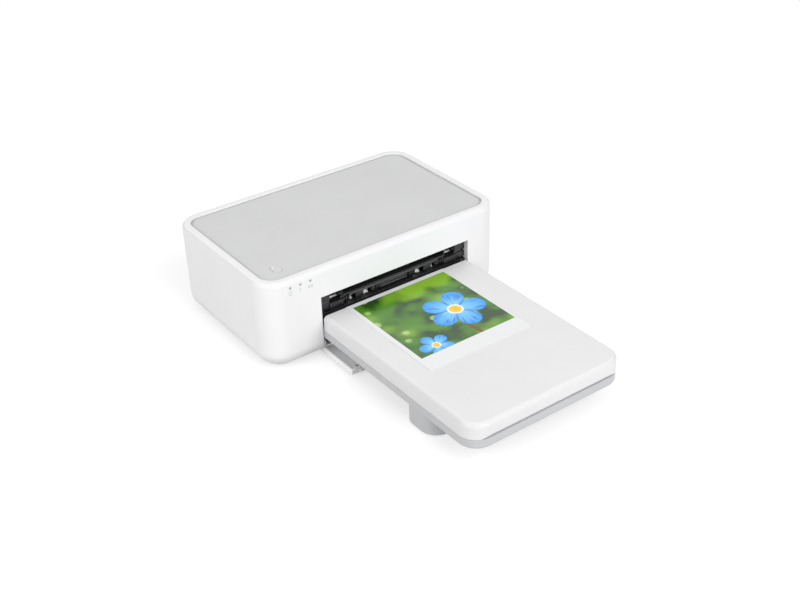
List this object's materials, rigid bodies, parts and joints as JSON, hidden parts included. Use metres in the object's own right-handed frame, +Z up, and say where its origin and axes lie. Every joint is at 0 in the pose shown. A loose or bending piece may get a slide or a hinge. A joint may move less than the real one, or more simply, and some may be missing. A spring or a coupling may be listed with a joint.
{
  "type": "compact photo printer",
  "caption": "Low rounded box photo printer with a front mouth, a hinged front door and a removable lidded paper tray that carries a finished print; geared roller drive inside.",
  "frame": {"origin": "centre of the whole part's footprint, on the surface it stands on", "axes": "+Z up, +Y from the paper tray towards the back of the housing, +X to the right seen from the front"},
  "size_m": [0.1944, 0.28, 0.0682],
  "materials": {
    "shell_white": "semi-gloss moulded",
    "top_grey": "fine matt texture",
    "base_grey": "matt",
    "foot_rubber": "matt",
    "steel": "plain sheet and bar",
    "button_grey": "satin",
    "board_green": "lacquered board",
    "lamp_clear": "clear light pipe",
    "tray_grey": "satin grey",
    "lift_plastic": "satin",
    "lid_white": "semi-gloss moulded",
    "print_paper": "glossy photo paper",
    "guide_black": "satin black",
    "roller_white": "satin white",
    "roller_rubber": "ground rubber",
    "bush_black": "satin black",
    "heatsink_aluminium": "extruded",
    "gear_ivory": "natural acetal",
    "brass_pinion": "turned",
    "spool_grey": "satin",
    "cartridge_grey": "satin",
    "film_dark": "thin dye film",
    "chip_black": "satin"
  },
  "bodies": {
    "housing": {"outer_shell": "shell_white", "top_panel": "top_grey", "base_plate": "base_grey", "rubber_feet": "foot_rubber", "base_screws": "steel", "button_switch": "board_green", "indicator_lights": "lamp_clear", "light_board": "board_green", "exit_guide": "guide_black", "guide_rod": "steel", "lower_guide": "guide_black", "left_side_plate": "steel", "right_side_plate": "steel", "shaft_bushes": "bush_black", "rear_guide": "guide_black", "idler_studs": "steel", "step_motor": "steel", "ribbon_cartridge": "cartridge_grey", "ribbon_film": "film_dark", "circuit_board": "board_green", "board_parts": "chip_black", "power_inlet": "bush_black"},
    "front_door": {"front_door": "shell_white"},
    "ribbon_door": {"ribbon_door": "shell_white"},
    "power_button": {"power_button": "button_grey"},
    "paper_tray": {"paper_tray": "tray_grey", "tray_foot": "tray_grey", "tray_pads": "foot_rubber", "lift_springs": "steel"},
    "lift_plate": {"lift_plate": "lift_plastic"},
    "tray_lid": {"tray_lid": "lid_white"},
    "print_sheet": {"print_sheet": "print_paper"},
    "thermal_head": {"head_arm": "steel", "thermal_head": "bush_black", "head_heatsink": "heatsink_aluminium"},
    "feed_roller": {"feed_roller": "steel", "feed_gear": "gear_ivory"},
    "platen_roller": {"platen_roller": "roller_rubber"},
    "pinch_roller": {"pinch_roller": "roller_rubber"},
    "long_idler_gear": {"long_idler_gear": "gear_ivory"},
    "front_idler_gear": {"front_idler_gear": "gear_ivory"},
    "exit_roller": {"exit_roller": "roller_white", "exit_gear": "gear_ivory"},
    "exit_idlers": {"exit_idlers": "roller_white"},
    "motor_idler_gear": {"motor_idler_gear": "gear_ivory"},
    "motor_pinion": {"motor_pinion": "brass_pinion"},
    "takeup": {"takeup_gear": "gear_ivory", "takeup_spool": "spool_grey"},
    "supply": {"supply_hub": "gear_ivory", "supply_spool": "spool_grey"},
    "pickup_roller": {"pickup_roller": "roller_rubber"}
  },
  "joints": [
    {"name": "front_door_hinge", "type": "hinge", "parent": "housing", "child": "front_door", "pos_m": [0.00625, 0.0224, 0.009], "axis": [-1, 0, 0], "range_deg": [0, 12]},
    {"name": "ribbon_door_hinge", "type": "hinge", "parent": "housing", "child": "ribbon_door", "pos_m": [0.0956, 0.0794, 0.0382], "axis": [0, 1, 0], "range_deg": [0, 88]},
    {"name": "power_button_press", "type": "slide", "parent": "housing", "child": "power_button", "axis": [0, 0, -1], "range_m": [0, 0.0006], "stiffness_N_per_m": 600},
    {"name": "paper_tray_slide", "type": "slide", "parent": "housing", "child": "paper_tray", "axis": [0, -1, 0], "range_m": [0, 0.05]},
    {"name": "lift_plate_tilt", "type": "hinge", "parent": "paper_tray", "child": "lift_plate", "pos_m": [0.00625, -0.0456, 0.0189], "axis": [1, 0, 0], "range_deg": [-1.4, 1.4], "stiffness_Nm_per_rad": 0.5, "deforming": ["lift_springs"]},
    {"name": "tray_lid_hinge", "type": "hinge", "parent": "paper_tray", "child": "tray_lid", "pos_m": [0.00625, -0.1376, 0.024], "axis": [1, 0, 0], "range_deg": [0, 80]},
    {"name": "print_slide", "type": "slide", "parent": "tray_lid", "child": "print_sheet", "axis": [0, -1, 0], "range_m": [0, 0.05]},
    {"name": "head_lift", "type": "hinge", "parent": "housing", "child": "thermal_head", "pos_m": [0.00625, 0.0884, 0.057], "axis": [-1, 0, 0], "range_deg": [0, 4]},
    {"name": "feed_spin", "type": "hinge", "parent": "housing", "child": "feed_roller", "pos_m": [0.00625, 0.0884, 0.031], "axis": [1, 0, 0], "continuous": true},
    {"name": "platen_spin", "type": "hinge", "parent": "housing", "child": "platen_roller", "pos_m": [0.00625, 0.0744, 0.0287], "axis": [1, 0, 0], "continuous": true},
    {"name": "pinch_spin", "type": "hinge", "parent": "housing", "child": "pinch_roller", "pos_m": [0.00625, 0.0874, 0.0383], "axis": [1, 0, 0], "continuous": true},
    {"name": "long_idler_spin", "type": "hinge", "parent": "housing", "child": "long_idler_gear", "pos_m": [0.00625, 0.06669, 0.0255], "axis": [1, 0, 0], "continuous": true},
    {"name": "front_idler_spin", "type": "hinge", "parent": "housing", "child": "front_idler_gear", "pos_m": [0.00625, 0.04036, 0.02354], "axis": [1, 0, 0], "continuous": true},
    {"name": "exit_spin", "type": "hinge", "parent": "housing", "child": "exit_roller", "pos_m": [0.00625, 0.0274, 0.0366], "axis": [1, 0, 0], "continuous": true},
    {"name": "exit_idler_spin", "type": "hinge", "parent": "housing", "child": "exit_idlers", "pos_m": [0.00625, 0.0274, 0.0301], "axis": [1, 0, 0], "continuous": true},
    {"name": "motor_idler_spin", "type": "hinge", "parent": "housing", "child": "motor_idler_gear", "pos_m": [0.00625, 0.1008, 0.01967], "axis": [1, 0, 0], "continuous": true},
    {"name": "motor_spin", "type": "hinge", "parent": "housing", "child": "motor_pinion", "pos_m": [0.00625, 0.1144, 0.02], "axis": [1, 0, 0], "continuous": true},
    {"name": "takeup_spin", "type": "hinge", "parent": "housing", "child": "takeup", "pos_m": [0.00625, 0.0544, 0.0475], "axis": [1, 0, 0], "continuous": true},
    {"name": "supply_spin", "type": "hinge", "parent": "housing", "child": "supply", "pos_m": [0.00625, 0.1044, 0.048], "axis": [1, 0, 0], "continuous": true},
    {"name": "pickup_spin", "type": "hinge", "parent": "housing", "child": "pickup_roller", "pos_m": [0.00625, 0.0346, 0.0287], "axis": [1, 0, 0], "continuous": true}
  ],
  "couplings": [
    {"joint": "platen_spin", "follows": "feed_spin", "ratio": 0.64615},
    {"joint": "pinch_spin", "follows": "feed_spin", "ratio": -1.4},
    {"joint": "long_idler_spin", "follows": "feed_spin", "ratio": -0.55556},
    {"joint": "front_idler_spin", "follows": "feed_spin", "ratio": 0.66667},
    {"joint": "exit_spin", "follows": "feed_spin", "ratio": -1.25},
    {"joint": "exit_idler_spin", "follows": "feed_spin", "ratio": 1.4167},
    {"joint": "motor_idler_spin", "follows": "feed_spin", "ratio": -0.90909},
    {"joint": "motor_spin", "follows": "feed_spin", "ratio": 1.6667},
    {"joint": "takeup_spin", "follows": "feed_spin", "ratio": 0.74074},
    {"joint": "supply_spin", "follows": "feed_spin", "ratio": -0.5005}
  ]
}
